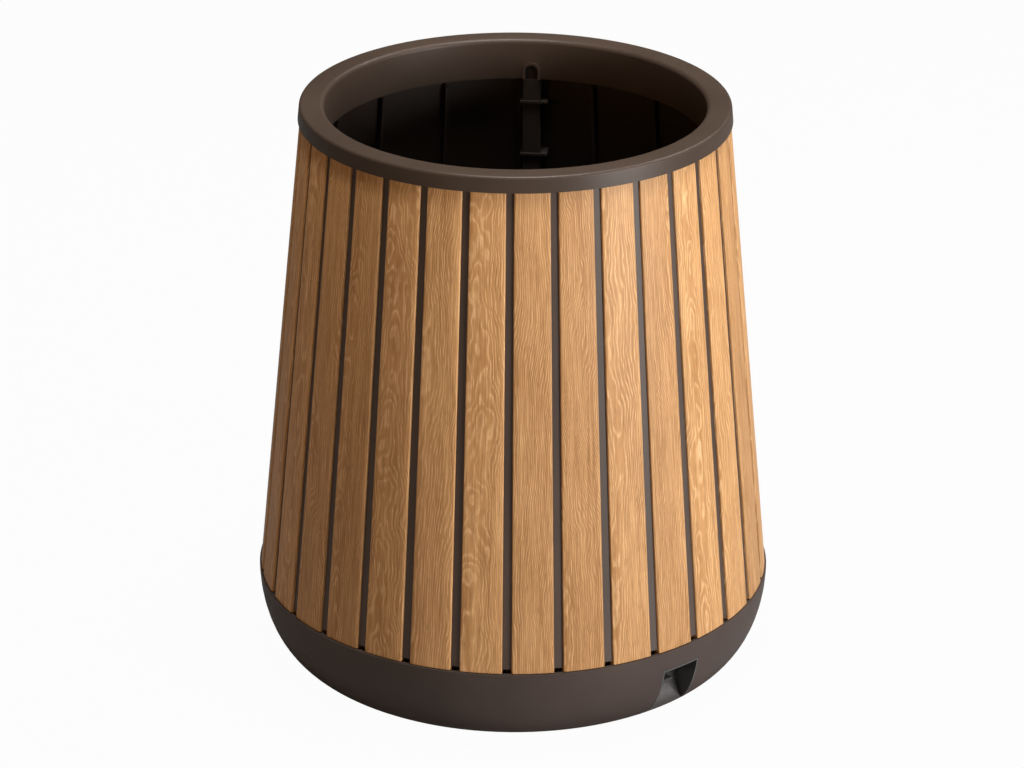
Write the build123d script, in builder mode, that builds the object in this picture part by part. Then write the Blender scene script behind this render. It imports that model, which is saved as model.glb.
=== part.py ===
# Cone planter: a tapered tub clad in upright slats, with a moulded base bowl,
# a rim ring, a water reservoir under a false floor, a float gauge in a duct on
# the back wall and a drain plug in a scoop at the front right of the base.
# Millimetres, +Z up, origin on the floor at the middle of the base.
# The view of the photograph looks along +Y.

import os
from math import sqrt

from build123d import *

# Overall form
base_height = 78.0
foot_radius = 200.0
belt_radius = 241.5
slat_height = 444.0
slat_radius_bottom = 240.0
slat_radius_top = 195.0
rim_height = 14.5

# Slats
slat_count = 32
slat_share = 0.818
slat_phase = -85.6
slat_thickness = 9.0
slat_edge_radius = 1.6
tongue_thickness = 4.0
tongue_length_bottom = 7.0
tongue_length_top = 6.0
slat_back_gap = 0.2
slat_groove_width = 16.0
slat_groove_depth = 2.5
slat_groove_margin = 24.0

# Wall shell
wall_thickness = 4.0
wall_rib_count = 16
wall_rib_thickness = 3.0
wall_rib_depth = 6.0
wall_rib_end_gap = 42.0

# Rim ring
rim_overhang = 2.0
rim_draft = 1.2
rim_wall = 3.4
rim_top_thickness = 4.5
band_radius = 173.0
band_thickness = 3.0
band_height = 39.5
lip_radius = 4.5
rim_edge_radius = 3.0

# Base bowl
bowl_wall = 4.0
bowl_floor = 6.0
bowl_floor_recess = 3.0
bowl_recess_radius = 170.0
bowl_rib_count = 8
bowl_rib_thickness = 3.0
bowl_rib_clearance = 1.0

# Reservoir pan
pan_bottom_radius = 190.0
pan_reach = 43.0
pan_wall = 3.0
pan_flange_top = 63.0
pan_flange_thickness = 3.0
pan_flange_gap = 0.4
pan_ledge_radius = 219.0
pan_plate_radius = 187.0

# Soil grate and wick cups
grate_thickness = 3.0
grate_edge_gap = 3.0
grate_hole_radius = 4.0
grate_hole_rings = ((52.0, 6), (176.0, 16))
cup_count = 4
cup_circle_radius = 115.0
cup_phase = 40.0
cup_radius_top = 27.0
cup_radius_bottom = 22.0
cup_wall = 2.0
cup_lip_width = 4.0
cup_lip_thickness = 1.5
cup_floor_gap = 4.0
cup_slot_count = 6
cup_slot_width = 4.0
cup_slot_height = 24.0
cup_fit = 0.3

# Drain outlet
outlet_angle = -50.0
outlet_width = 43.5
outlet_top = 59.5
outlet_bottom = 6.0
chute_fit = 0.3
chute_cheek = 1.75
chute_back_radius = 207.5
chute_floor_radius = 210.5
chute_top_inset = 2.0
chute_lip_thickness = 1.6
pan_flat_gap = 0.5
plug_height = 35.0
plug_bore_radius = 6.5
plug_passage_radius = 9.5
plug_stem_radius = 4.6
plug_head_radius = 8.5
plug_head_thickness = 2.6
plug_seat_gap = 0.4
plug_tip_length = 2.0
plug_tip_radius = 5.9
plug_grip_width = 13.0
plug_grip_thickness = 3.4
plug_grip_length = 8.0
seal_fit = 0.05

# Water gauge
gauge_angle = 85.0
duct_front_radius = 174.0
duct_depth = 10.0
duct_width = 18.4
duct_wall = 1.8
duct_corner_radius = 2.4
duct_slot_width = 8.0
duct_slot_height = 14.0
duct_fit = 0.3
clip_count = 8
clip_top_height = 473.0
clip_spacing = 53.0
clip_thickness = 2.2
clip_front = 2.3
clip_side = 6.4
clip_rib_side = 1.1
clip_wall_gap = 0.3
window_width = 12.0
window_height = 14.0
window_border = 2.6
window_border_depth = 1.3
cap_fit = 0.3
cap_skirt_length = 8.0
cap_wall = 1.3
cap_depth = 6.0
cap_bead_count = 3
cap_bead = 0.4
cap_bead_start = 0.6
cap_bead_share = 0.8
float_fit = 0.5
float_length = 28.0
float_rest_gap = 3.0
stem_radius = 1.2
flag_width = 7.0
flag_thickness = 2.0
flag_height = 12.0
flag_top = 470.0

# Places worked out from the sizes above
slat_bottom = base_height
slat_top = base_height + slat_height
total_height = slat_top + rim_height
cone_slope = (slat_radius_bottom - slat_radius_top) / slat_height
slat_pitch = 360 / slat_count
bowl_reach = belt_radius - foot_radius
floor_top = bowl_floor
grate_bottom = pan_flange_top
grate_top = grate_bottom + grate_thickness
pan_floor_top = floor_top + pan_wall
rim_underside = total_height - rim_top_thickness
band_bottom = total_height - band_height
gauge_half_width = duct_width / 2
plug_seat_radius = chute_floor_radius + plug_seat_gap

os.makedirs("parts", exist_ok=True)


def outer_radius(z):
    """Radius of the slats' outer faces at height z."""
    return slat_radius_bottom - cone_slope * (z - slat_bottom)


def wall_outer_radius(z):
    """Radius of the wall shell's outer face at height z."""
    return outer_radius(z) - slat_thickness - slat_back_gap


def wall_inner_radius(z):
    """Radius of the wall shell's inner face at height z."""
    return wall_outer_radius(z) - wall_thickness


def bowl_inner_radius(z):
    """Radius of the base bowl's inner face at height z."""
    drop = (base_height - z) / (base_height - bowl_floor)
    return foot_radius + (bowl_reach - bowl_wall) * sqrt(1 - drop**2)


def keep(piece, label):
    """Gives a finished piece its name and writes it."""
    piece.label = label
    export_step(piece, f"parts/{label}.step")


def bowl_solid(centre_radius, reach, depth, top):
    """A solid bowl: a quarter ellipse turned about Z, from base_height - depth up to top."""
    with BuildPart() as bowl:
        with BuildSketch(Plane.XZ):
            with BuildLine():
                arc = EllipticalCenterArc(
                    (centre_radius, base_height), reach, depth, start_angle=270, arc_size=90
                )
                Polyline(arc @ 0, (0, base_height - depth), (0, base_height), arc @ 1)
            make_face()
        revolve(axis=Axis.Z)
        if top < base_height:
            split(bisect_by=Plane.XY.offset(top), keep=Keep.BOTTOM)
    return bowl.part


def turned(piece, angle):
    """The piece turned about the planter's axis."""
    return piece.rotate(Axis.Z, angle)


def radial_box(low_radius, high_radius, width, low_z, high_z):
    """A box that points outward along +X, centred across."""
    with BuildPart() as block:
        with Locations(((low_radius + high_radius) / 2, 0, (low_z + high_z) / 2)):
            Box(high_radius - low_radius, width, high_z - low_z)
    return block.part


# Solid volumes that several pieces share
bowl_outside = bowl_solid(foot_radius, bowl_reach, base_height, base_height)
bowl_inside = bowl_solid(
    foot_radius, bowl_reach - bowl_wall, base_height - bowl_floor, base_height
)
pan_depth = base_height - floor_top
pan_outside = bowl_solid(pan_bottom_radius, pan_reach, pan_depth, pan_flange_top)
pan_clear_of_ribs = bowl_solid(
    pan_bottom_radius,
    pan_reach + bowl_rib_clearance,
    pan_depth + bowl_rib_clearance,
    base_height,
)
pan_inside = bowl_solid(
    pan_bottom_radius, pan_reach - pan_wall, pan_depth - pan_wall, pan_flange_top
)
pan_flat_radius = chute_back_radius - pan_flat_gap
pan_flat_width = outlet_width + 2 * bowl_wall


def make_base_bowl():
    """Outer bowl with its foot ring, the ribs that carry the pan, and the outlet opening."""
    rib_top = pan_flange_top - pan_flange_thickness
    with BuildPart() as ribs:
        with PolarLocations(0, bowl_rib_count, start_angle=outlet_angle + 180 / bowl_rib_count):
            with Locations((belt_radius - bowl_reach, 0, rib_top / 2)):
                Box(2 * bowl_reach, bowl_rib_thickness, rib_top)
        add(bowl_outside, mode=Mode.INTERSECT)
        add(pan_clear_of_ribs, mode=Mode.SUBTRACT)
    with BuildPart() as base_bowl:
        add(bowl_outside)
        add(bowl_inside, mode=Mode.SUBTRACT)
        with BuildSketch(Plane.XY):
            Circle(bowl_recess_radius)
        extrude(amount=bowl_floor_recess, mode=Mode.SUBTRACT)
        add(ribs.part)
        add(
            turned(
                radial_box(
                    chute_back_radius - bowl_wall, 2 * belt_radius - chute_back_radius,
                    outlet_width, outlet_bottom, outlet_top,
                ),
                outlet_angle,
            ),
            mode=Mode.SUBTRACT,
        )
    return base_bowl.part


def make_reservoir_pan():
    """Water pan: a bowl with a flange outside, a ledge inside and a flat with the drain bore."""
    outside_flat = radial_box(pan_flat_radius, 2 * belt_radius, pan_flat_width, 0, base_height)
    inside_flat = radial_box(
        pan_flat_radius - pan_wall, 2 * belt_radius, pan_flat_width + 2 * pan_wall, 0, base_height
    )
    flange_bottom = pan_flange_top - pan_flange_thickness
    flange_radius = bowl_inner_radius(flange_bottom) - pan_flange_gap
    with BuildPart() as hollow:
        add(pan_inside)
        add(turned(inside_flat, outlet_angle), mode=Mode.SUBTRACT)
    with BuildPart() as pan:
        add(pan_outside)
        add(turned(outside_flat, outlet_angle), mode=Mode.SUBTRACT)
        add(hollow.part, mode=Mode.SUBTRACT)
        with BuildSketch(Plane.XY.offset(flange_bottom)):
            Circle(flange_radius)
            Circle(pan_ledge_radius, mode=Mode.SUBTRACT)
        extrude(amount=pan_flange_thickness)
        with BuildSketch(Plane.YZ.offset(pan_flat_radius - 2 * pan_wall)):
            with Locations((0, plug_height)):
                Circle(plug_bore_radius)
        bore = extrude(amount=3 * pan_wall, mode=Mode.PRIVATE)
        add(turned(bore, outlet_angle), mode=Mode.SUBTRACT)
        add(make_pan_plate(), mode=Mode.SUBTRACT)
    return pan.part


def make_pan_plate():
    """Flat plate that closes the bottom of the water pan."""
    with BuildPart() as plate:
        with BuildSketch(Plane.XY.offset(floor_top)):
            Circle(pan_plate_radius)
        extrude(amount=pan_wall)
    return plate.part


def make_drain_chute():
    """Glossy scoop behind the outlet opening, flush with the bowl's outside."""
    half_width = outlet_width / 2 - chute_fit
    low = outlet_bottom + chute_fit
    high = outlet_top - chute_fit
    pocket_top = high - chute_top_inset
    lip_z = low + chute_lip_thickness
    with BuildPart() as chute:
        add(radial_box(chute_back_radius, 2 * belt_radius, 2 * half_width, low, high))
        add(bowl_outside, mode=Mode.INTERSECT)
        with BuildSketch(Plane.XZ):
            with BuildLine():
                scoop = ThreePointArc(
                    (chute_floor_radius + 2 * pan_wall, pocket_top),
                    (chute_floor_radius, plug_height),
                    (foot_radius + bowl_reach / 2, lip_z),
                )
                Polyline(scoop @ 1, (2 * belt_radius, lip_z), (2 * belt_radius, pocket_top), scoop @ 0)
            make_face()
        extrude(amount=half_width - chute_cheek, both=True, mode=Mode.SUBTRACT)
        with BuildSketch(Plane.YZ.offset(chute_back_radius - pan_wall)):
            with Locations((0, plug_height)):
                Circle(plug_passage_radius)
        extrude(amount=3 * pan_wall, mode=Mode.SUBTRACT)
    return turned(chute.part, outlet_angle)


def make_drain_plug():
    """Push-in plug: a tip that holds the seal, a stem, a head and a finger grip."""
    tip_start = pan_flat_radius - pan_wall - plug_tip_length - seal_fit
    with BuildPart() as plug:
        with BuildSketch(Plane.YZ.offset(tip_start)):
            Circle(plug_tip_radius)
        extrude(amount=plug_tip_length)
        chamfer(plug.faces().sort_by(Axis.X)[0].edges(), plug_tip_length / 3)
        with BuildSketch(Plane.YZ.offset(tip_start)):
            Circle(plug_stem_radius)
        extrude(amount=plug_seat_radius - tip_start)
        with BuildSketch(Plane.YZ.offset(plug_seat_radius)):
            Circle(plug_head_radius)
        extrude(amount=plug_head_thickness)
        with BuildSketch(Plane.YZ.offset(plug_seat_radius + plug_head_thickness)):
            SlotOverall(plug_grip_width, plug_grip_thickness)
        extrude(amount=plug_grip_length)
        fillet(plug.faces().sort_by(Axis.X)[-1].edges(), plug_grip_thickness / 4)
    return turned(plug.part.moved(Location((0, 0, plug_height))), outlet_angle)


def make_drain_seal():
    """Rubber sleeve on the plug's stem that fills the pan's bore."""
    start = pan_flat_radius - pan_wall
    with BuildPart() as seal:
        with BuildSketch(Plane.YZ.offset(start)):
            Circle(plug_bore_radius - seal_fit)
            Circle(plug_stem_radius + seal_fit, mode=Mode.SUBTRACT)
        extrude(amount=pan_wall)
    return turned(seal.part.moved(Location((0, 0, plug_height))), outlet_angle)


def make_wall_shell():
    """Tapered wall behind the slats, with upright ribs inside."""
    low = pan_flange_top
    high = rim_underside
    with BuildPart() as shell:
        with BuildSketch(Plane.XZ):
            Polygon(
                (wall_inner_radius(low), low),
                (wall_outer_radius(low), low),
                (wall_outer_radius(high), high),
                (wall_inner_radius(high), high),
                align=None,
            )
        revolve(axis=Axis.Z)
        rib_low = low + grate_thickness + grate_edge_gap
        rib_high = high - wall_rib_end_gap
        with BuildSketch(Plane.XZ.offset(-wall_rib_thickness / 2)):
            Polygon(
                (wall_inner_radius(rib_low) + wall_thickness / 2, rib_low),
                (wall_inner_radius(rib_low) - wall_rib_depth, rib_low),
                (wall_inner_radius(rib_high) - wall_rib_depth, rib_high),
                (wall_inner_radius(rib_high) + wall_thickness / 2, rib_high + wall_rib_depth),
                align=None,
            )
        rib = extrude(amount=wall_rib_thickness, mode=Mode.PRIVATE)
        with PolarLocations(0, wall_rib_count, start_angle=slat_phase - slat_pitch / 2):
            add(rib)
    return shell.part


def make_slat():
    """One slat at angle 0, tapered to the top, with a tongue at each end and a hollow back."""
    back_bottom = outer_radius(slat_bottom) - slat_thickness
    back_top = outer_radius(slat_top) - slat_thickness
    low = slat_bottom - tongue_length_bottom
    high = slat_top + tongue_length_top
    back_low = outer_radius(low) - slat_thickness
    back_high = outer_radius(high) - slat_thickness
    angle = slat_pitch * slat_share
    with BuildPart() as slat:
        with BuildSketch(Plane.XZ):
            Polygon(
                (back_low, low),
                (back_low + tongue_thickness, low),
                (back_bottom + tongue_thickness, slat_bottom),
                (outer_radius(slat_bottom), slat_bottom),
                (outer_radius(slat_top), slat_top),
                (back_top + tongue_thickness, slat_top),
                (back_high + tongue_thickness, high),
                (back_high, high),
                align=None,
            )
        revolve(axis=Axis.Z, revolution_arc=angle)
    body = turned(slat.part, -angle / 2)
    with BuildPart() as finished:
        add(body)
        front = finished.faces().sort_by(SortBy.AREA)[-1]
        long_edges = front.edges().sort_by(SortBy.LENGTH)[-2:]
        fillet(long_edges, slat_edge_radius)
        groove_low = slat_bottom + slat_groove_margin
        groove_high = slat_top - slat_groove_margin
        with BuildSketch(Plane.XZ.offset(-slat_groove_width / 2)):
            Polygon(
                (outer_radius(groove_low) - slat_thickness - 1, groove_low),
                (outer_radius(groove_low) - slat_thickness + slat_groove_depth, groove_low),
                (outer_radius(groove_high) - slat_thickness + slat_groove_depth, groove_high),
                (outer_radius(groove_high) - slat_thickness - 1, groove_high),
                align=None,
            )
        extrude(amount=slat_groove_width, mode=Mode.SUBTRACT)
    return finished.part


def make_rim_ring():
    """Top ring: an upside-down channel over the wall, with a band inside and the gauge window."""
    skirt_radius = outer_radius(slat_top) + rim_overhang
    with BuildPart() as rim:
        with BuildSketch(Plane.XZ):
            Polygon(
                (skirt_radius, slat_top),
                (skirt_radius - rim_draft, total_height),
                (band_radius, total_height),
                (band_radius, band_bottom),
                (band_radius + band_thickness, band_bottom),
                (band_radius + band_thickness, rim_underside),
                (skirt_radius - rim_draft - rim_wall, rim_underside),
                (skirt_radius - rim_wall, slat_top),
                align=None,
            )
        revolve(axis=Axis.Z)
        top_edges = rim.edges().filter_by(GeomType.CIRCLE).group_by(Axis.Z)[-1]
        top_edges = top_edges.sort_by(SortBy.LENGTH)
        fillet(top_edges[-1:], rim_edge_radius)
        lip = rim.edges().filter_by(GeomType.CIRCLE).group_by(Axis.Z)[-1].sort_by(SortBy.LENGTH)[:1]
        fillet(lip, lip_radius)
        arch_top = band_bottom + window_height
        outer_half = window_width / 2 + window_border
        with BuildSketch(Plane.YZ.offset(band_radius - window_border_depth)) as border:
            with Locations((0, band_bottom)):
                Rectangle(
                    2 * outer_half, window_height - window_width / 2,
                    align=(Align.CENTER, Align.MIN),
                )
            with Locations((0, arch_top - window_width / 2)):
                Circle(outer_half)
            with Locations((0, band_bottom)):
                Rectangle(
                    3 * outer_half, 3 * outer_half,
                    align=(Align.CENTER, Align.MAX), mode=Mode.SUBTRACT,
                )
        raised = extrude(amount=window_border_depth + band_thickness / 2, mode=Mode.PRIVATE)
        with BuildSketch(Plane.YZ.offset(band_radius - 2 * window_border_depth)) as opening:
            with Locations((0, band_bottom - 1)):
                Rectangle(
                    window_width, window_height - window_width / 2 + 1,
                    align=(Align.CENTER, Align.MIN),
                )
            with Locations((0, arch_top - window_width / 2)):
                Circle(window_width / 2)
        cut = extrude(amount=4 * band_thickness, mode=Mode.PRIVATE)
        add(turned(raised, gauge_angle))
        add(turned(cut, gauge_angle), mode=Mode.SUBTRACT)
    return rim.part


def make_soil_grate():
    """False floor over the reservoir: holes for air and roots, cups, and the gauge duct."""
    radius = wall_inner_radius(grate_bottom) - grate_edge_gap
    with BuildPart() as grate:
        with BuildSketch(Plane.XY.offset(grate_bottom)):
            Circle(radius)
            for ring_radius, count in grate_hole_rings:
                with PolarLocations(ring_radius, count, start_angle=gauge_angle + 180 / count):
                    Circle(grate_hole_radius, mode=Mode.SUBTRACT)
            with PolarLocations(cup_circle_radius, cup_count, start_angle=cup_phase):
                Circle(cup_radius_top + cup_fit, mode=Mode.SUBTRACT)
        extrude(amount=grate_thickness)
        duct_slot = radial_box(
            duct_front_radius - duct_fit, duct_front_radius + duct_depth + duct_fit,
            duct_width + 2 * duct_fit, grate_bottom, grate_top,
        )
        add(turned(duct_slot, gauge_angle), mode=Mode.SUBTRACT)
    return grate.part


def make_wick_cup():
    """Soil cup that hangs through the grate into the water, at angle 0."""
    low = pan_floor_top + cup_floor_gap
    lip_top = grate_top + cup_lip_thickness
    with BuildPart() as cup:
        with BuildSketch(Plane.XZ):
            with BuildLine():
                Polyline(
                    (0, low),
                    (cup_radius_bottom, low),
                    (cup_radius_top, grate_top),
                    (cup_radius_top + cup_lip_width, grate_top),
                    (cup_radius_top + cup_lip_width, lip_top),
                    (cup_radius_top - cup_wall, lip_top),
                    (cup_radius_bottom - cup_wall, low + cup_wall),
                    (0, low + cup_wall),
                    close=True,
                )
            make_face()
        revolve(axis=Axis.Z)
        with PolarLocations(cup_radius_bottom, cup_slot_count):
            with Locations((0, 0, low + cup_floor_gap + cup_slot_height / 2)):
                Box(4 * cup_wall, cup_slot_width, cup_slot_height, mode=Mode.SUBTRACT)
    return cup.part.moved(Location((cup_circle_radius, 0, 0)))


def duct_section(inset):
    """The duct's outline in plan at angle 0, drawn in by inset, as a sketch."""
    with BuildSketch() as section:
        with Locations((duct_front_radius + duct_depth / 2, 0)):
            RectangleRounded(
                duct_depth - 2 * inset, duct_width - 2 * inset, max(duct_corner_radius - inset, 0.4)
            )
    return section.sketch


def make_gauge_duct():
    """Upright duct on the back wall that guides the float, open to the water at its foot."""
    top = band_bottom - duct_fit
    with BuildPart() as duct:
        with BuildSketch(Plane.XY.offset(pan_floor_top)):
            add(duct_section(0))
            add(duct_section(duct_wall), mode=Mode.SUBTRACT)
        extrude(amount=top - pan_floor_top)
        with Locations((duct_front_radius, 0, pan_floor_top + duct_slot_height / 2)):
            Box(2 * duct_wall + 1, duct_slot_width, duct_slot_height, mode=Mode.SUBTRACT)
    return turned(duct.part, gauge_angle)


def make_gauge_clips():
    """Collars that hold the duct off the wall, one above the other."""
    with BuildPart() as clips:
        with BuildSketch(Plane.XY):
            front = duct_front_radius - clip_front
            back = wall_inner_radius(pan_flange_top) + wall_thickness
            left = gauge_half_width + clip_rib_side
            right = -gauge_half_width - clip_side
            with BuildLine():
                Polyline((front, right), (back, right), (back, left), (front, left), close=True)
            make_face()
            with Locations((duct_front_radius + duct_depth / 2, 0)):
                Rectangle(
                    duct_depth + 2 * duct_fit, duct_width + 2 * duct_fit, mode=Mode.SUBTRACT
                )
        plate = extrude(amount=clip_thickness, mode=Mode.PRIVATE)
        for index in range(clip_count):
            add(plate.moved(Location((0, 0, clip_top_height - index * clip_spacing))))
        low = clip_top_height - clip_count * clip_spacing
        with BuildSketch(Plane.XZ):
            Polygon(
                (0, low),
                (wall_inner_radius(low) - clip_wall_gap, low),
                (wall_inner_radius(total_height) - clip_wall_gap, total_height),
                (0, total_height),
                align=None,
            )
        revolve(axis=Axis.Z, mode=Mode.INTERSECT)
    return turned(clips.part, gauge_angle)


def make_gauge_cap():
    """Cap in the duct's top whose beaded dome shows in the rim's window."""
    duct_top = band_bottom - duct_fit
    skirt_inset = duct_wall + cap_fit
    dome_front = band_radius + band_thickness + cap_fit
    half = window_width / 2 - cap_fit
    dome_top = band_bottom + window_height - cap_fit
    with BuildPart() as cap:
        with BuildSketch(Plane.XY.offset(duct_top - cap_skirt_length)):
            add(duct_section(skirt_inset))
            add(duct_section(skirt_inset + cap_wall), mode=Mode.SUBTRACT)
        extrude(amount=cap_skirt_length)
        with BuildSketch(Plane.YZ.offset(dome_front)):
            with Locations((0, duct_top)):
                Rectangle(2 * half, dome_top - half - duct_top, align=(Align.CENTER, Align.MIN))
            with Locations((0, dome_top - half)):
                Circle(half)
            with Locations((0, duct_top)):
                Rectangle(4 * half, 4 * half, align=(Align.CENTER, Align.MAX), mode=Mode.SUBTRACT)
        extrude(amount=cap_depth)
        with BuildSketch(Plane.YZ.offset(dome_front + cap_wall)):
            with Locations((0, duct_top)):
                Rectangle(
                    2 * (half - cap_wall), dome_top - half - duct_top,
                    align=(Align.CENTER, Align.MIN),
                )
            with Locations((0, dome_top - half)):
                Circle(half - cap_wall)
            with Locations((0, duct_top)):
                Rectangle(4 * half, 4 * half, align=(Align.CENTER, Align.MAX), mode=Mode.SUBTRACT)
        extrude(amount=cap_depth - 2 * cap_wall, mode=Mode.SUBTRACT)
        bead_spacing = (dome_top - half - duct_top) / cap_bead_count
        for index in range(cap_bead_count):
            with Locations((dome_front, 0, duct_top + (index + cap_bead_start) * bead_spacing)):
                Box(2 * cap_bead, 2 * cap_bead_share * half, 2 * cap_bead)
    return turned(cap.part, gauge_angle)


def make_gauge_float():
    """Float block at the foot of the duct."""
    with BuildPart() as block:
        with BuildSketch(Plane.XY.offset(pan_floor_top + float_rest_gap)):
            add(duct_section(duct_wall + float_fit))
        extrude(amount=float_length)
    return turned(block.part, gauge_angle)


def make_gauge_stem():
    """Stem on the float, with the flag that rises behind the window."""
    middle = duct_front_radius + duct_depth / 2
    start = pan_floor_top + float_rest_gap + float_length
    with BuildPart() as stem:
        with BuildSketch(Plane.XY.offset(start)):
            with Locations((middle, 0)):
                Circle(stem_radius)
        extrude(amount=flag_top - flag_height - start)
        with Locations((middle, 0, flag_top - flag_height / 2)):
            Box(flag_thickness, flag_width, flag_height)
    return turned(stem.part, gauge_angle)


keep(make_base_bowl(), "base_bowl")
keep(make_reservoir_pan(), "reservoir_pan")
keep(make_pan_plate(), "pan_plate")
keep(make_drain_chute(), "drain_chute")
keep(make_drain_plug(), "drain_plug")
keep(make_drain_seal(), "drain_seal")
keep(make_wall_shell(), "wall_shell")
keep(make_rim_ring(), "rim_ring")
keep(make_soil_grate(), "soil_grate")
keep(make_gauge_duct(), "gauge_duct")
keep(make_gauge_clips(), "gauge_clips")
keep(make_gauge_cap(), "gauge_cap")
keep(make_gauge_float(), "gauge_float")
keep(make_gauge_stem(), "gauge_stem")

wick_cup = make_wick_cup()
for index in range(cup_count):
    keep(turned(wick_cup, cup_phase + index * 360 / cup_count), f"wick_cup_{index + 1}")

slat = make_slat()
for index in range(slat_count):
    keep(turned(slat, slat_phase + index * slat_pitch), f"slat_{index + 1:02d}")
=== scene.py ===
"""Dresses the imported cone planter: oak slats, wall lands, rim, bowl, scoop, stage and light."""

from math import atan2, cos, hypot, pi, radians, sin

import bpy
from bpy.props import FloatProperty, FloatVectorProperty, IntProperty, PointerProperty
from mathutils import Matrix, Vector


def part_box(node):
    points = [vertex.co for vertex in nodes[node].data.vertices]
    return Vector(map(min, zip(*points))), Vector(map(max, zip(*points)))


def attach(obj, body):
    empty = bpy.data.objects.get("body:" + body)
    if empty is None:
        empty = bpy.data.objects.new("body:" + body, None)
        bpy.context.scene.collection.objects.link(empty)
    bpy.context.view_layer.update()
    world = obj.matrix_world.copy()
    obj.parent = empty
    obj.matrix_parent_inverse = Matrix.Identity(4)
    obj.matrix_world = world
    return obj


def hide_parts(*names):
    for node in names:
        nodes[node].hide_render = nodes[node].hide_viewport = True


bl_info = {
    "name": "Cone planter",
    "version": (1, 0, 0),
    "blender": (4, 5, 0),
    "location": "View3D > Sidebar > Planter",
    "description": "Slatted cone planter with a water reservoir, float gauge and drain plug",
    "category": "Object",
}

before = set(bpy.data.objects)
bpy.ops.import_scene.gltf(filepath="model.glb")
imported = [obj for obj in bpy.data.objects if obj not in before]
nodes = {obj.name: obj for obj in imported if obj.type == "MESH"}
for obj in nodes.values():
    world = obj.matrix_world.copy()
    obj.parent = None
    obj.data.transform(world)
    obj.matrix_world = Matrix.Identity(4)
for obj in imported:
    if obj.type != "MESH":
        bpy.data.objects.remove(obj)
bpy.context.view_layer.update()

# Angles in degrees, counted from the X axis
SLAT_COUNT = 32
SLAT_PHASE = -85.6
GAUGE_ANGLE = 85.0

# Heights and radii in metres
SLAT_BOTTOM = 0.078
SLAT_TOP = 0.522
RIM_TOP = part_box("rim_ring")[1].z
BAND_LOW = RIM_TOP - 0.0395
BAND_RADIUS = 0.173

# Steps of a slat's and a land's curved face
BOARD_STEPS = 8
LAND_STEPS = 2

# Share of the floor's colour that the camera sees as plain white, and that mirrors see of it
FLOOR_WHITE = 0.97
FLOOR_MIRRORED = 0.03

WHITE = (1, 1, 1)
WARM = (1.0, 0.58, 0.20)

# Each lamp's name, place, target, size, power setting and colour
LAMPS = (
    ("key_light", (2.9, -2.0, 0.8), (0, 0, 0.3), (1.5, 1.2), "key_power", WHITE),
    ("top_light", (0.2, -0.2, 3.0), (0, 0, 0.4), (1.0, 1.0), "top_power", WHITE),
    ("fill_light", (-2.3, -2.3, 1.3), (0, 0, 0.4), (1.0, 0.8), "fill_power", WARM),
    ("back_light", (1.35, 1.1, 2.3), (0.15, -0.1, 0.1), (0.9, 0.5), "back_power", WHITE),
)


def face_radius(slats, z):
    """Radius of the slats' faces at height z."""
    slope = (slats.radius_bottom - slats.radius_top) / (SLAT_TOP - SLAT_BOTTOM)
    return slats.radius_bottom - slope * (z - SLAT_BOTTOM)


def deselect():
    """Clears the selection, so that an operator acts on its own piece alone."""
    if bpy.context.object and bpy.context.object.mode != "OBJECT":
        bpy.ops.object.mode_set(mode="OBJECT")
    bpy.ops.object.select_all(action="DESELECT")


def activate(piece):
    """Selects one piece and makes it the active one."""
    deselect()
    piece.select_set(True)
    bpy.context.view_layer.objects.active = piece


def drawn_outline(name, points, closed):
    """Starts from a plane merged to one vertex and extrudes it along points (radius, height)."""
    deselect()
    bpy.ops.mesh.primitive_plane_add(size=0.01, location=(0, 0, 0))
    piece = bpy.context.object
    piece.name = name
    piece.data.name = name
    bpy.ops.object.mode_set(mode="EDIT")
    bpy.ops.mesh.select_all(action="SELECT")
    bpy.ops.mesh.merge(type="CENTER")
    bpy.ops.transform.translate(value=(points[0][0], 0, points[0][1]))
    for before, after in zip(points, points[1:]):
        step = (after[0] - before[0], 0, after[1] - before[1])
        bpy.ops.mesh.extrude_region_move(TRANSFORM_OT_translate={"value": step})
    bpy.ops.mesh.select_all(action="SELECT")
    if closed:
        bpy.ops.mesh.edge_face_add()
    return piece


def spin_about_z(angle, steps):
    """Spins the outline in hand about the planter's axis and leaves a closed skin."""
    bpy.ops.mesh.spin(steps=steps, angle=angle, center=(0, 0, 0), axis=(0, 0, 1))
    bpy.ops.mesh.select_all(action="SELECT")
    bpy.ops.mesh.remove_doubles(threshold=1e-6)
    bpy.ops.mesh.normals_make_consistent(inside=False)
    bpy.ops.object.mode_set(mode="OBJECT")


def turn_mesh(piece, angle):
    """Turns a piece's mesh about the planter's axis."""
    piece.data.transform(Matrix.Rotation(angle, 4, "Z"))


def centre_on(piece, angle):
    """Turns a piece's mesh so that the middle of its span stands at angle."""
    turns = [atan2(v.co.y, v.co.x) for v in piece.data.vertices]
    turn_mesh(piece, angle - (min(turns) + max(turns)) / 2)


def bevelled(piece, width, segments, angle=30):
    """Rounds the piece's edges that turn by more than angle."""
    activate(piece)
    bevel = piece.modifiers.new("Rounded edges", "BEVEL")
    bevel.width = width
    bevel.segments = segments
    bevel.limit_method = "ANGLE"
    bevel.angle_limit = radians(angle)
    bpy.ops.object.modifier_apply(modifier=bevel.name)


def smooth(piece, angle=35):
    """Shades smooth up to angle."""
    activate(piece)
    bpy.ops.object.shade_smooth_by_angle(angle=radians(angle))


def finish_piece(piece, material, body, replaced=()):
    """Gives a piece its material and body and hides the CAD nodes it stands for."""
    piece.data.materials.clear()
    piece.data.materials.append(material)
    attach(piece, body)
    if replaced:
        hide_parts(*replaced)


def arc(centre, radius, start, end, steps):
    """Points of an arc (radius, height) from start to end degrees."""
    turns = [radians(start + (end - start) * i / steps) for i in range(steps + 1)]
    return [(centre[0] + radius * cos(a), centre[1] + radius * sin(a)) for a in turns]


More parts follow.
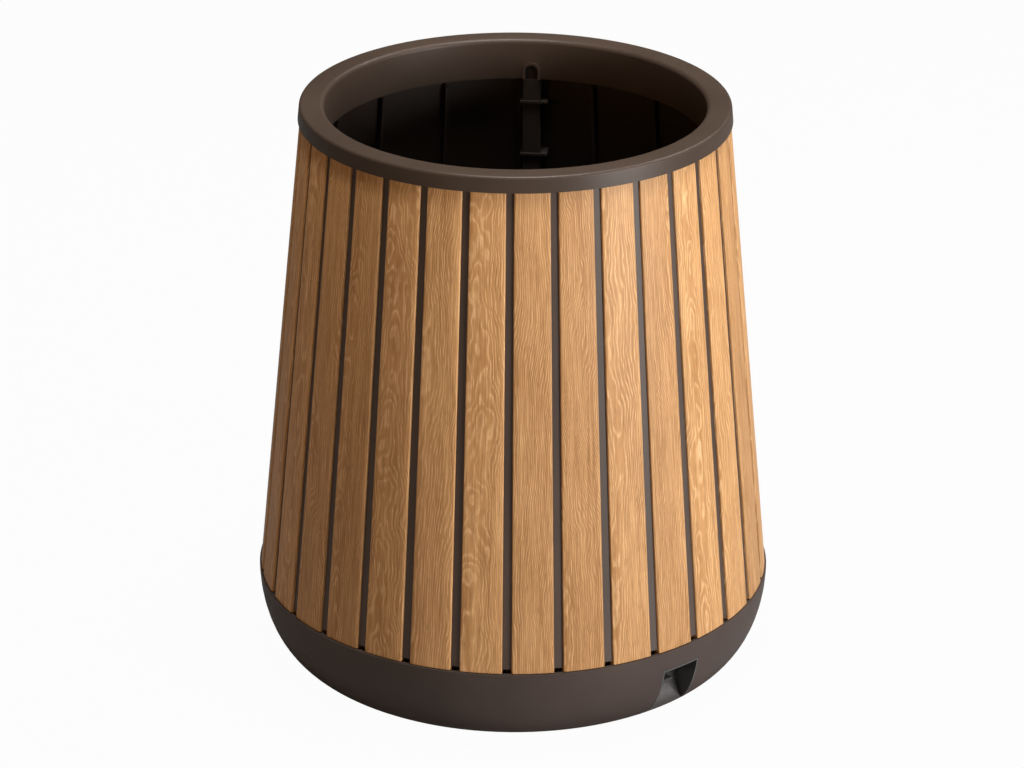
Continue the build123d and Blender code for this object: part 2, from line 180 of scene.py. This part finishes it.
class Nodes:
    """Short way to lay out a material's nodes."""

    def __init__(self, name):
        self.material = bpy.data.materials.new(name)
        self.material.use_nodes = True
        self.tree = self.material.node_tree
        self.shader = self.tree.nodes["Principled BSDF"]
        self.count = 0

    def add(self, kind, **values):
        node = self.tree.nodes.new(kind)
        self.count += 1
        node.location = (-220 * (self.count // 4 + 1), 300 - 220 * (self.count % 4))
        for key, value in values.items():
            setattr(node, key, value)
        return node

    def link(self, source, target):
        self.tree.links.new(source, target)

    def maths(self, operation, first, second=None, third=None, clamp=False):
        node = self.add("ShaderNodeMath", operation=operation, use_clamp=clamp)
        for socket, value in zip(node.inputs, (first, second, third)):
            if value is None:
                continue
            if isinstance(value, (int, float)):
                socket.default_value = value
            else:
                self.link(value, socket)
        return node.outputs[0]

    def noise(self, vector, scale, detail=2.0, roughness=0.5, distortion=0.0):
        node = self.add("ShaderNodeTexNoise")
        node.inputs["Scale"].default_value = scale
        node.inputs["Detail"].default_value = detail
        node.inputs["Roughness"].default_value = roughness
        node.inputs["Distortion"].default_value = distortion
        self.link(vector, node.inputs["Vector"])
        return node.outputs["Fac"]

    def mapping(self, vector, scale, location=(0, 0, 0)):
        node = self.add("ShaderNodeMapping")
        node.inputs["Scale"].default_value = scale
        node.inputs["Location"].default_value = location
        self.link(vector, node.inputs["Vector"])
        return node.outputs["Vector"]

    def ramp(self, factor, stops):
        node = self.add("ShaderNodeValToRGB")
        ramp = node.color_ramp
        while len(ramp.elements) < len(stops):
            ramp.elements.new(0.5)
        for element, (place, colour) in zip(ramp.elements, stops):
            element.position = place
            element.color = (*colour, 1)
        self.link(factor, node.inputs["Fac"])
        return node.outputs["Color"]

    def mix(self, factor, first, second, blend="MIX"):
        node = self.add("ShaderNodeMix", data_type="RGBA", blend_type=blend)
        sockets = (node.inputs[0], node.inputs[6], node.inputs[7])
        for socket, value in zip(sockets, (factor, first, second)):
            if isinstance(value, (int, float)):
                socket.default_value = value
            elif isinstance(value, (tuple, list)):
                socket.default_value = (*value[:3], 1)
            else:
                self.link(value, socket)
        return node.outputs[2]

    def bump(self, height, strength, distance, normal=None):
        node = self.add("ShaderNodeBump")
        node.inputs["Strength"].default_value = strength
        node.inputs["Distance"].default_value = distance
        self.link(height, node.inputs["Height"])
        if normal is not None:
            self.link(normal, node.inputs["Normal"])
        return node.outputs["Normal"]


def oiled_oak(settings):
    """Flat-sawn oak: growth rings cut as tall arches, fibres, pores and a tint for each board."""
    m = Nodes("oiled_oak")
    uv = m.add("ShaderNodeUVMap", uv_map="UVMap").outputs["UV"]
    board = m.add("ShaderNodeAttribute", attribute_name="board").outputs["Fac"]
    dice = m.add("ShaderNodeTexWhiteNoise", noise_dimensions="1D")
    m.link(board, dice.inputs["W"])
    chance = m.add("ShaderNodeSeparateColor")
    m.link(dice.outputs["Color"], chance.inputs[0])
    first, second, third = chance.outputs
    split = m.add("ShaderNodeSeparateXYZ")
    m.link(uv, split.inputs[0])
    across, along = split.outputs[0], split.outputs[1]

    # The board's own place in the tree, from its number
    place = m.add("ShaderNodeCombineXYZ")
    m.link(across, place.inputs[0])
    m.link(along, place.inputs[1])
    m.link(m.maths("MULTIPLY", board, 0.37), place.inputs[2])
    place = place.outputs[0]
    sway = m.noise(m.mapping(place, (14, 5.0, 1)), 1.0, 1.5)
    swirl = m.noise(m.mapping(place, (46, 18, 1)), 1.0, 2.5)
    shift = m.maths("MULTIPLY", m.maths("SUBTRACT", first, 0.5), 0.05)
    bow = m.maths("MULTIPLY_ADD", sway, 0.05, -0.025)
    side = m.maths("ADD", m.maths("ADD", across, shift), bow)
    depth = m.maths("MULTIPLY_ADD", second, 0.016, 0.003)

    # Growth rings: distance from the heart, with the rings' slope and the swirling figure
    square = m.maths("ADD", m.maths("MULTIPLY", side, side), m.maths("MULTIPLY", depth, depth))
    ring = m.maths("SQRT", square)
    slope = m.maths("MULTIPLY_ADD", third, 0.1, -0.05)
    ring = m.maths("ADD", ring, m.maths("MULTIPLY", along, slope))
    figure = m.maths("MULTIPLY_ADD", third, 0.009, 0.006)
    ring = m.maths("ADD", ring, m.maths("MULTIPLY", swirl, figure))
    cycles = m.maths("MULTIPLY", ring, 1 / settings.ring_spacing)
    saw = m.maths("FRACT", cycles)
    late = m.ramp(
        saw,
        (
            (0.0, (0.1, 0.1, 0.1)),
            (0.2, (0, 0, 0)),
            (0.5, (0.15, 0.15, 0.15)),
            (0.78, (1, 1, 1)),
            (0.9, (0.8, 0.8, 0.8)),
            (1.0, (0.1, 0.1, 0.1)),
        ),
    )

    # Fine structure, drawn out along the board
    fibre = m.noise(m.mapping(place, (900, 26, 1)), 1.0, 3.0, 0.6)
    streak = m.noise(m.mapping(place, (240, 6, 1)), 1.0, 3.0, 0.55)
    cloud = m.noise(m.mapping(place, (60, 12, 1)), 1.0, 2.0)
    pore = m.noise(m.mapping(place, (1500, 90, 1)), 1.0, 1.0)
    pore = m.ramp(pore, ((0.60, (0, 0, 0)), (0.72, (1, 1, 1))))

    # Colour
    dark = tuple(settings.dark_colour)
    base = m.ramp(
        m.maths("MULTIPLY_ADD", streak, 0.6, m.maths("MULTIPLY", cloud, 0.4)),
        (
            (0.34, dark),
            (0.52, tuple(settings.mid_colour)),
            (0.68, tuple(settings.light_colour)),
        ),
    )
    broken = m.ramp(fibre, ((0.32, (0.15, 0.15, 0.15)), (0.58, (1, 1, 1))))
    line = m.maths("MULTIPLY", late, m.maths("MULTIPLY", broken, 0.85), clamp=True)
    colour = m.mix(line, base, tuple(settings.line_colour))
    fine = m.ramp(fibre, ((0.3, (0.78, 0.75, 0.72)), (0.7, (1.12, 1.12, 1.13))))
    colour = m.mix(0.7, colour, fine, "MULTIPLY")
    colour = m.mix(m.maths("MULTIPLY", pore, 0.35), colour, tuple(c * 0.4 for c in dark))
    tint = m.ramp(
        second, ((0.0, (0.90, 0.87, 0.84)), (0.5, WHITE), (1.0, (1.07, 1.06, 1.04)))
    )
    colour = m.mix(1.0, colour, tint, "MULTIPLY")
    m.link(colour, m.shader.inputs["Base Color"])

    # Relief and gloss
    height = m.maths("ADD", m.maths("MULTIPLY", fibre, 0.6), m.maths("MULTIPLY", line, 0.5))
    m.link(m.bump(height, 0.22, 0.0004), m.shader.inputs["Normal"])
    rough = m.maths("MULTIPLY_ADD", fibre, 0.18, 0.44)
    m.link(rough, m.shader.inputs["Roughness"])
    m.shader.inputs["Specular IOR Level"].default_value = 0.25
    return m.material


def moulded(name, colour, roughness, grain, coat=0.0, specular=0.5):
    """Moulded plastic: fine spark-eroded grain, faint cloudiness of colour and uneven gloss."""
    m = Nodes(name)
    place = m.add("ShaderNodeTexCoord").outputs["Object"]
    cloud = m.noise(m.mapping(place, (9, 9, 9)), 1.0, 3.0)
    speck = m.noise(m.mapping(place, (1700, 1700, 1700)), 1.0, 2.0, 0.6)
    low = tuple(c * 0.86 for c in colour)
    high = tuple(min(c * 1.14, 1) for c in colour)
    tone = m.ramp(cloud, ((0.3, low), (0.7, high)))
    dots = m.ramp(speck, ((0.35, (0.86, 0.86, 0.86)), (0.65, (1.12, 1.12, 1.12))))
    m.link(m.mix(0.6, tone, dots, "MULTIPLY"), m.shader.inputs["Base Color"])
    m.link(m.maths("MULTIPLY_ADD", cloud, 0.12, roughness - 0.06), m.shader.inputs["Roughness"])
    m.link(m.bump(speck, grain, 0.0003), m.shader.inputs["Normal"])
    m.shader.inputs["Specular IOR Level"].default_value = specular
    if coat:
        m.shader.inputs["Coat Weight"].default_value = coat
        m.shader.inputs["Coat Roughness"].default_value = 0.04
    return m.material


def foam(name, colour):
    """Closed-cell foam: small round cells."""
    m = Nodes(name)
    place = m.add("ShaderNodeTexCoord").outputs["Object"]
    cells = m.add("ShaderNodeTexVoronoi")
    cells.inputs["Scale"].default_value = 900
    m.link(place, cells.inputs["Vector"])
    tone = m.ramp(cells.outputs["Distance"], ((0.1, tuple(c * 0.8 for c in colour)), (0.7, colour)))
    m.link(tone, m.shader.inputs["Base Color"])
    m.link(m.bump(cells.outputs["Distance"], 0.3, 0.0004), m.shader.inputs["Normal"])
    m.shader.inputs["Roughness"].default_value = 0.8
    return m.material


class PlanterSlatSettings(bpy.types.PropertyGroup):
    """Sizes and colours of the slats."""

    count: IntProperty(
        name="Slats", description="Number of slats round the tub", default=SLAT_COUNT, min=3)
    radius_bottom: FloatProperty(
        name="Radius at bottom", description="Radius of the slats' faces at the base bowl",
        default=0.240, unit="LENGTH")
    radius_top: FloatProperty(
        name="Radius at top", description="Radius of the slats' faces under the rim",
        default=0.195, unit="LENGTH")
    thickness: FloatProperty(
        name="Thickness", description="Board thickness", default=0.009, unit="LENGTH")
    share: FloatProperty(
        name="Share", description="Part of the pitch that a board covers",
        default=0.818, min=0.1, max=1.0)
    edge: FloatProperty(
        name="Edge radius", description="Rounding of the boards' edges",
        default=0.0011, unit="LENGTH")
    ring_spacing: FloatProperty(
        name="Ring spacing", description="Distance between growth rings",
        default=0.0018, unit="LENGTH")
    dark_colour: FloatVectorProperty(
        name="Dark wood", description="Colour of the darker streaks", subtype="COLOR",
        default=(0.40, 0.190, 0.066))
    mid_colour: FloatVectorProperty(
        name="Wood", description="Main colour of the wood", subtype="COLOR",
        default=(0.50, 0.255, 0.098))
    light_colour: FloatVectorProperty(
        name="Light wood", description="Colour of the lighter streaks", subtype="COLOR",
        default=(0.60, 0.325, 0.135))
    line_colour: FloatVectorProperty(
        name="Grain line", description="Colour of the pale grain lines", subtype="COLOR",
        default=(0.80, 0.50, 0.255))


class PlanterMouldingSettings(bpy.types.PropertyGroup):
    """Sizes and colours of the plastic pieces."""

    segments: IntProperty(
        name="Segments", description="Steps round a turned piece", default=256, min=32)
    rim_colour: FloatVectorProperty(
        name="Rim", description="Colour of the rim ring", subtype="COLOR",
        default=(0.060, 0.040, 0.029))
    base_colour: FloatVectorProperty(
        name="Base bowl", description="Colour of the base bowl", subtype="COLOR",
        default=(0.063, 0.045, 0.038))
    # Painted shade: the wall is a darker copy of the lands' plastic, dark for the shaded inside of
    # the tub and behind the slats
    wall_shaded_colour: FloatVectorProperty(
        name="Wall", description="Colour of the wall behind the slats", subtype="COLOR",
        default=(0.026, 0.016, 0.011))
    # The lands carry the same plastic as the wall, in its unshaded colour
    land_colour: FloatVectorProperty(
        name="Land", description="Colour of the wall seen between the slats", subtype="COLOR",
        default=(0.062, 0.040, 0.029))
    land_depth: FloatProperty(
        name="Land depth", description="How far the wall lies behind the slats' faces",
        default=0.0022, unit="LENGTH")
    window_width: FloatProperty(
        name="Window width", description="Clear width of the gauge window",
        default=0.012, unit="LENGTH")
    window_height: FloatProperty(
        name="Window height", description="Height of the gauge window",
        default=0.014, unit="LENGTH")


class PlanterStageSettings(bpy.types.PropertyGroup):
    """Camera, light and floor."""

    lens: FloatProperty(name="Lens", description="Focal length in millimetres", default=125.88)
    camera_place: FloatVectorProperty(
        name="Camera", description="Where the camera stands", subtype="XYZ", unit="LENGTH",
        default=(0.0, -3.0589, 1.6216))
    camera_target: FloatVectorProperty(
        name="Target", description="Point that the camera looks at", subtype="XYZ", unit="LENGTH",
        default=(0.0, 0.0, 0.2559))
    camera_roll: FloatProperty(
        name="Roll", description="Tilt of the camera", default=0.0055, unit="ROTATION")
    key_power: FloatProperty(
        name="Key light", description="Power of the light on the right", default=130.0)
    top_power: FloatProperty(
        name="Top light", description="Power of the light overhead", default=80.0)
    back_power: FloatProperty(
        name="Back light", description="Power of the light behind the tub", default=22.0)
    fill_power: FloatProperty(
        name="Fill light", description="Power of the warm light on the left", default=11.0)
    world_strength: FloatProperty(
        name="World", description="Strength of the even light", default=0.07)


class PLANTER_OT_slats(bpy.types.Operator):
    """Makes one oak slat and sets copies of it round the tub"""

    bl_idname = "planter.slats"
    bl_label = "Slats"

    def execute(self, context):
        s = context.scene.planter_slats
        tongue, low, high = 0.004, SLAT_BOTTOM - 0.007, SLAT_TOP + 0.006
        foot = SLAT_BOTTOM + 0.0003

        def back(z):
            return face_radius(s, z) - s.thickness

        outline = [
            (back(low), low),
            (back(low) + tongue, low),
            (back(foot) + tongue, foot),
            (face_radius(s, foot), foot),
            (face_radius(s, SLAT_TOP), SLAT_TOP),
            (back(SLAT_TOP) + tongue, SLAT_TOP),
            (back(high) + tongue, high),
            (back(high), high),
        ]
        angle = radians(360 / s.count * s.share)
        board = drawn_outline("slat_board", outline, closed=True)
        spin_about_z(angle, BOARD_STEPS)
        centre_on(board, 0)
        bevelled(board, s.edge, 3, 40)
        smooth(board, 40)
        if min(v.co.z for v in board.data.vertices) < low - 1e-4:
            raise RuntimeError("the slat's tongue reaches below its groove")
        wood = oiled_oak(s)
        for index in range(s.count):
            copy = board if index == s.count - 1 else board.copy()
            if copy is not board:
                copy.data = board.data.copy()
                context.scene.collection.objects.link(copy)
            copy.name = f"slat_board_{index + 1:02d}"
            copy.data.name = copy.name
            self.lay_grain(copy, s, index)
            turn_mesh(copy, radians(SLAT_PHASE + index * 360 / s.count))
            finish_piece(copy, wood, "planter", [f"slat_{index + 1:02d}"])
        return {"FINISHED"}

    def lay_grain(self, piece, s, index):
        """Lays the grain along the board, in real sizes, and numbers the board."""
        mesh = piece.data
        layer = mesh.uv_layers.get("UVMap") or mesh.uv_layers.new(name="UVMap")
        middle = (s.radius_bottom + s.radius_top) / 2
        for loop in mesh.loops:
            x, y, z = mesh.vertices[loop.vertex_index].co
            depth = face_radius(s, z) - hypot(x, y)
            turn = atan2(y, x)
            across = turn * middle + (depth if turn > 0 else -depth)
            layer.data[loop.index].uv = (across, z + index * 0.61)
        number = mesh.attributes.new("board", "FLOAT", "POINT")
        number.data.foreach_set("value", [index + 0.5] * len(mesh.vertices))


class PLANTER_OT_lands(bpy.types.Operator):
    """Makes the raised lands of the wall between the slats"""

    bl_idname = "planter.lands"
    bl_label = "Wall lands"

    def execute(self, context):
        s = context.scene.planter_slats
        moulding = context.scene.planter_moulding
        low, high = SLAT_BOTTOM + 0.004, SLAT_TOP + 0.003

        def land(z):
            return face_radius(s, z) - moulding.land_depth

        rise = s.thickness - moulding.land_depth + 0.0004
        outline = [
            (land(low) - rise, low),
            (land(low), low),
            (land(high), high),
            (land(high) - rise, high),
        ]
        angle = radians(360 / s.count * (1 - s.share) - 0.02)
        first = drawn_outline("wall_lands", outline, closed=True)
        spin_about_z(angle, LAND_STEPS)
        centre_on(first, radians(SLAT_PHASE + 180 / s.count))
        copies = []
        for index in range(1, s.count):
            copy = first.copy()
            copy.data = first.data.copy()
            context.scene.collection.objects.link(copy)
            turn_mesh(copy, radians(index * 360 / s.count))
            copies.append(copy)
        activate(first)
        for copy in copies:
            copy.select_set(True)
        bpy.ops.object.join()
        smooth(first, 30)
        finish = moulded("wall_land_plastic", tuple(moulding.land_colour), 0.5, 0.10)
        finish_piece(first, finish, "planter")
        return {"FINISHED"}


class PLANTER_OT_rim(bpy.types.Operator):
    """Makes the rim ring with its soft lip, the band inside it and the gauge window"""

    bl_idname = "planter.rim"
    bl_label = "Rim ring"

    def execute(self, context):
        s = context.scene.planter_moulding
        top, skirt, draft, wall = RIM_TOP, 0.197, 0.0012, 0.0034
        band, band_thick = BAND_RADIUS, 0.003
        lip, edge, under = 0.0045, 0.003, RIM_TOP - 0.0045
        outline = (
            [(skirt, SLAT_TOP)]
            + arc((skirt - draft - edge, top - edge), edge, 4, 90, 8)
            + arc((band + lip, top - lip), lip, 90, 180, 10)
            + arc((band + 0.0006, BAND_LOW + 0.0006), 0.0006, 180, 270, 3)
            + [(band + band_thick, BAND_LOW), (band + band_thick, under)]
            + [(skirt - draft - wall, under), (skirt - wall, SLAT_TOP)]
        )
        ring = drawn_outline("rim_cover", outline + [outline[0]], closed=False)
        spin_about_z(2 * pi, s.segments)
        border = 0.0026
        surround = self.window_block("window_frame", s, border, band - 0.0013, band + 0.0015, 0.0)
        opening = self.window_block("window_opening", s, 0.0, band - 0.006, band + 0.008, 0.002)
        for block, operation in ((surround, "UNION"), (opening, "DIFFERENCE")):
            activate(ring)
            cut = ring.modifiers.new("Window", "BOOLEAN")
            cut.operation = operation
            cut.object = block
            cut.solver = "EXACT"
            bpy.ops.object.modifier_apply(modifier=cut.name)
            bpy.data.objects.remove(block)
        smooth(ring, 30)
        finish = moulded("rim_plastic", tuple(s.rim_colour), 0.42, 0.10, specular=0.25)
        finish_piece(ring, finish, "planter", ["rim_ring"])
        return {"FINISHED"}

    def window_block(self, name, s, border, near, far, drop):
        """An arched block on the gauge's line, to join to the band or cut from it."""
        deselect()
        bpy.ops.mesh.primitive_plane_add(size=1)
        block = bpy.context.object
        block.name = name
        half = s.window_width / 2 + border
        low = BAND_LOW - drop
        spring = BAND_LOW + s.window_height - s.window_width / 2
        bpy.ops.object.mode_set(mode="EDIT")
        bpy.ops.mesh.select_all(action="SELECT")
        bpy.ops.mesh.merge(type="CENTER")
        bpy.ops.transform.translate(value=(near, -half, low))
        points = [(-half, low)] + arc((0, spring), half, 180, 0, 20) + [(half, low)]
        for before, after in zip(points, points[1:]):
            step = (0, after[0] - before[0], after[1] - before[1])
            bpy.ops.mesh.extrude_region_move(TRANSFORM_OT_translate={"value": step})
        bpy.ops.mesh.select_all(action="SELECT")
        bpy.ops.mesh.edge_face_add()
        bpy.ops.mesh.extrude_region_move(TRANSFORM_OT_translate={"value": (far - near, 0, 0)})
        bpy.ops.mesh.select_all(action="SELECT")
        bpy.ops.mesh.normals_make_consistent(inside=False)
        bpy.ops.object.mode_set(mode="OBJECT")
        turn_mesh(block, radians(GAUGE_ANGLE))
        return block


class PLANTER_OT_bowl(bpy.types.Operator):
    """Dresses the base bowl and the plain moulded pieces inside the tub"""

    bl_idname = "planter.bowl"
    bl_label = "Bowl and inner mouldings"

    def execute(self, context):
        s = context.scene.planter_moulding
        wall = tuple(s.wall_shaded_colour)
        finishes = {
            "base_bowl": moulded("base_plastic", tuple(s.base_colour), 0.52, 0.16, specular=0.25),
            # The wall gets the darker copy of the plastic: painted shade inside the tub
            "wall_shell": moulded("wall_plastic", wall, 0.5, 0.10),
            "pan_plate": moulded("plate_plastic", (0.03, 0.026, 0.024), 0.55, 0.10),
            "reservoir_pan": moulded("pan_plastic", (0.03, 0.026, 0.024), 0.5, 0.10),
            "soil_grate": moulded("grate_plastic", (0.024, 0.02, 0.018), 0.6, 0.14),
            "gauge_duct": moulded("gauge_plastic", (0.03, 0.022, 0.018), 0.45, 0.08),
            "wick_cup": moulded("cup_plastic", (0.03, 0.03, 0.03), 0.55, 0.12),
            "drain_seal": moulded("seal_rubber", (0.02, 0.02, 0.02), 0.75, 0.05),
            "gauge_float": foam("float_foam", (0.6, 0.56, 0.45)),
            "gauge_stem": moulded("flag_plastic", (0.5, 0.05, 0.03), 0.4, 0.05),
        }
        shared = {"gauge_clips": "gauge_duct", "gauge_cap": "gauge_duct"}
        for index in range(1, 5):
            shared[f"wick_cup_{index}"] = "wick_cup"
        for name in [*finishes, *shared]:
            if name in nodes:
                mesh = nodes[name].data
                mesh.materials.clear()
                mesh.materials.append(finishes[shared.get(name, name)])
        return {"FINISHED"}


class PLANTER_OT_outlet(bpy.types.Operator):
    """Dresses the glossy drain scoop, lightened to grey as painted reflection, and its plug"""

    bl_idname = "planter.outlet"
    bl_label = "Drain outlet"

    def execute(self, context):
        for name, finish, colour, rough in (
            # The scoop's grey colour is painted reflection: its glossy black is lightened to the
            # grey tones it mirrors
            ("drain_chute", "chute_plastic", (0.060, 0.055, 0.053), 0.24),
            ("drain_plug", "plug_plastic", (0.016, 0.014, 0.013), 0.55),
        ):
            mesh = nodes[name].data
            mesh.materials.clear()
            mesh.materials.append(moulded(finish, colour, rough, 0.03, coat=0.6))
        return {"FINISHED"}


class PLANTER_OT_stage(bpy.types.Operator):
    """Sets the camera, the floor and the soft studio light"""

    bl_idname = "planter.stage"
    bl_label = "Stage"

    def execute(self, context):
        s = context.scene.planter_stage
        scene = context.scene
        scene.view_settings.view_transform = "Standard"
        self.set_camera(scene, s)
        self.lay_floor(context)
        self.set_world(scene, s.world_strength)
        for name, place, target, size, power, colour in LAMPS:
            self.lamp(scene, name, place, target, size, getattr(s, power), colour)
        return {"FINISHED"}

    def aimed(self, place, target):
        """Matrix of a thing that stands at place and looks at target."""
        aim = (Vector(target) - Vector(place)).to_track_quat("-Z", "Y").to_matrix().to_4x4()
        return Matrix.Translation(place) @ aim

    def set_camera(self, scene, s):
        """Sets the camera that the photo was taken from."""
        data = bpy.data.cameras.new("camera")
        data.lens = s.lens
        data.sensor_width = 36
        data.shift_x = -2 / 1024
        data.clip_end = 50
        camera = bpy.data.objects.new("camera", data)
        scene.collection.objects.link(camera)
        roll = Matrix.Rotation(s.camera_roll, 4, "Z")
        camera.matrix_world = self.aimed(s.camera_place, s.camera_target) @ roll
        scene.camera = camera

    def lay_floor(self, context):
        """Lays a floor that shows white and keeps the shadow."""
        deselect()
        bpy.ops.mesh.primitive_plane_add(size=40, location=(0, 0, 0))
        floor = context.object
        floor.name = "floor"
        m = Nodes("floor_white")
        path = m.add("ShaderNodeLightPath")
        glow = m.add("ShaderNodeEmission")
        glow.inputs["Strength"].default_value = 1.0
        place = m.add("ShaderNodeTexCoord").outputs["Object"]
        fleck = m.noise(m.mapping(place, (3, 3, 3)), 1.0, 2.0)
        grey = m.ramp(fleck, ((0.3, (0.30, 0.30, 0.30)), (0.7, (0.32, 0.32, 0.32))))
        m.link(grey, m.shader.inputs["Base Color"])
        m.shader.inputs["Roughness"].default_value = 0.85
        m.shader.inputs["Specular IOR Level"].default_value = 0.1
        blend = m.add("ShaderNodeMixShader")
        mirrored = m.maths("MULTIPLY", path.outputs["Is Glossy Ray"], FLOOR_MIRRORED)
        seen = m.maths("MAXIMUM", path.outputs["Is Camera Ray"], mirrored)
        m.link(m.maths("MULTIPLY", seen, FLOOR_WHITE), blend.inputs[0])
        m.link(m.shader.outputs[0], blend.inputs[1])
        m.link(glow.outputs[0], blend.inputs[2])
        m.link(blend.outputs[0], m.tree.nodes["Material Output"].inputs["Surface"])
        floor.data.materials.append(m.material)

    def set_world(self, scene, strength):
        """Sets a faint warm even light behind a white backdrop."""
        world = bpy.data.worlds.new("studio")
        scene.world = world
        world.use_nodes = True
        sky = world.node_tree.nodes
        links = world.node_tree.links
        light = sky["Background"]
        light.inputs["Color"].default_value = (1.0, 0.80, 0.56, 1)
        light.inputs["Strength"].default_value = strength
        white = sky.new("ShaderNodeBackground")
        white.inputs["Strength"].default_value = 1.0
        rays = sky.new("ShaderNodeLightPath")
        either = sky.new("ShaderNodeMath")
        either.operation = "MAXIMUM"
        both = sky.new("ShaderNodeMixShader")
        links.new(rays.outputs["Is Camera Ray"], either.inputs[0])
        links.new(rays.outputs["Is Transmission Ray"], either.inputs[1])
        links.new(either.outputs[0], both.inputs[0])
        links.new(light.outputs[0], both.inputs[1])
        links.new(white.outputs[0], both.inputs[2])
        links.new(both.outputs[0], sky["World Output"].inputs["Surface"])

    def lamp(self, scene, name, place, target, size, power, colour):
        """One soft rectangular lamp aimed at a point."""
        data = bpy.data.lights.new(name, "AREA")
        data.shape = "RECTANGLE"
        data.size, data.size_y = size
        data.energy = power
        data.color = colour
        lamp = bpy.data.objects.new(name, data)
        lamp.matrix_world = self.aimed(place, target)
        scene.collection.objects.link(lamp)


class PLANTER_PT_panel(bpy.types.Panel):
    """Lists the planter's pieces in the sidebar"""

    bl_label = "Cone planter"
    bl_idname = "PLANTER_PT_panel"
    bl_space_type = "VIEW_3D"
    bl_region_type = "UI"
    bl_category = "Planter"

    def draw(self, context):
        layout = self.layout
        for operator in OPERATORS:
            layout.operator(operator.bl_idname)
        for name in SETTINGS:
            group = getattr(context.scene, name)
            box = layout.box()
            for key in group.__annotations__:
                box.prop(group, key)


SETTINGS = {
    "planter_slats": PlanterSlatSettings,
    "planter_moulding": PlanterMouldingSettings,
    "planter_stage": PlanterStageSettings,
}
OPERATORS = (
    PLANTER_OT_slats,
    PLANTER_OT_lands,
    PLANTER_OT_rim,
    PLANTER_OT_bowl,
    PLANTER_OT_outlet,
    PLANTER_OT_stage,
)


def register():
    """Registers the settings, operators and panel."""
    for name, group in SETTINGS.items():
        bpy.utils.register_class(group)
        setattr(bpy.types.Scene, name, PointerProperty(type=group))
    for operator in OPERATORS:
        bpy.utils.register_class(operator)
    bpy.utils.register_class(PLANTER_PT_panel)


def unregister():
    """Removes the panel, operators and settings."""
    bpy.utils.unregister_class(PLANTER_PT_panel)
    for operator in reversed(OPERATORS):
        bpy.utils.unregister_class(operator)
    for name, group in SETTINGS.items():
        delattr(bpy.types.Scene, name)
        bpy.utils.unregister_class(group)


def main():
    """Registers the add-on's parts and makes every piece."""
    register()
    bpy.ops.planter.slats()
    bpy.ops.planter.lands()
    bpy.ops.planter.rim()
    bpy.ops.planter.bowl()
    bpy.ops.planter.outlet()
    bpy.ops.planter.stage()


if __name__ == "__main__":
    main()
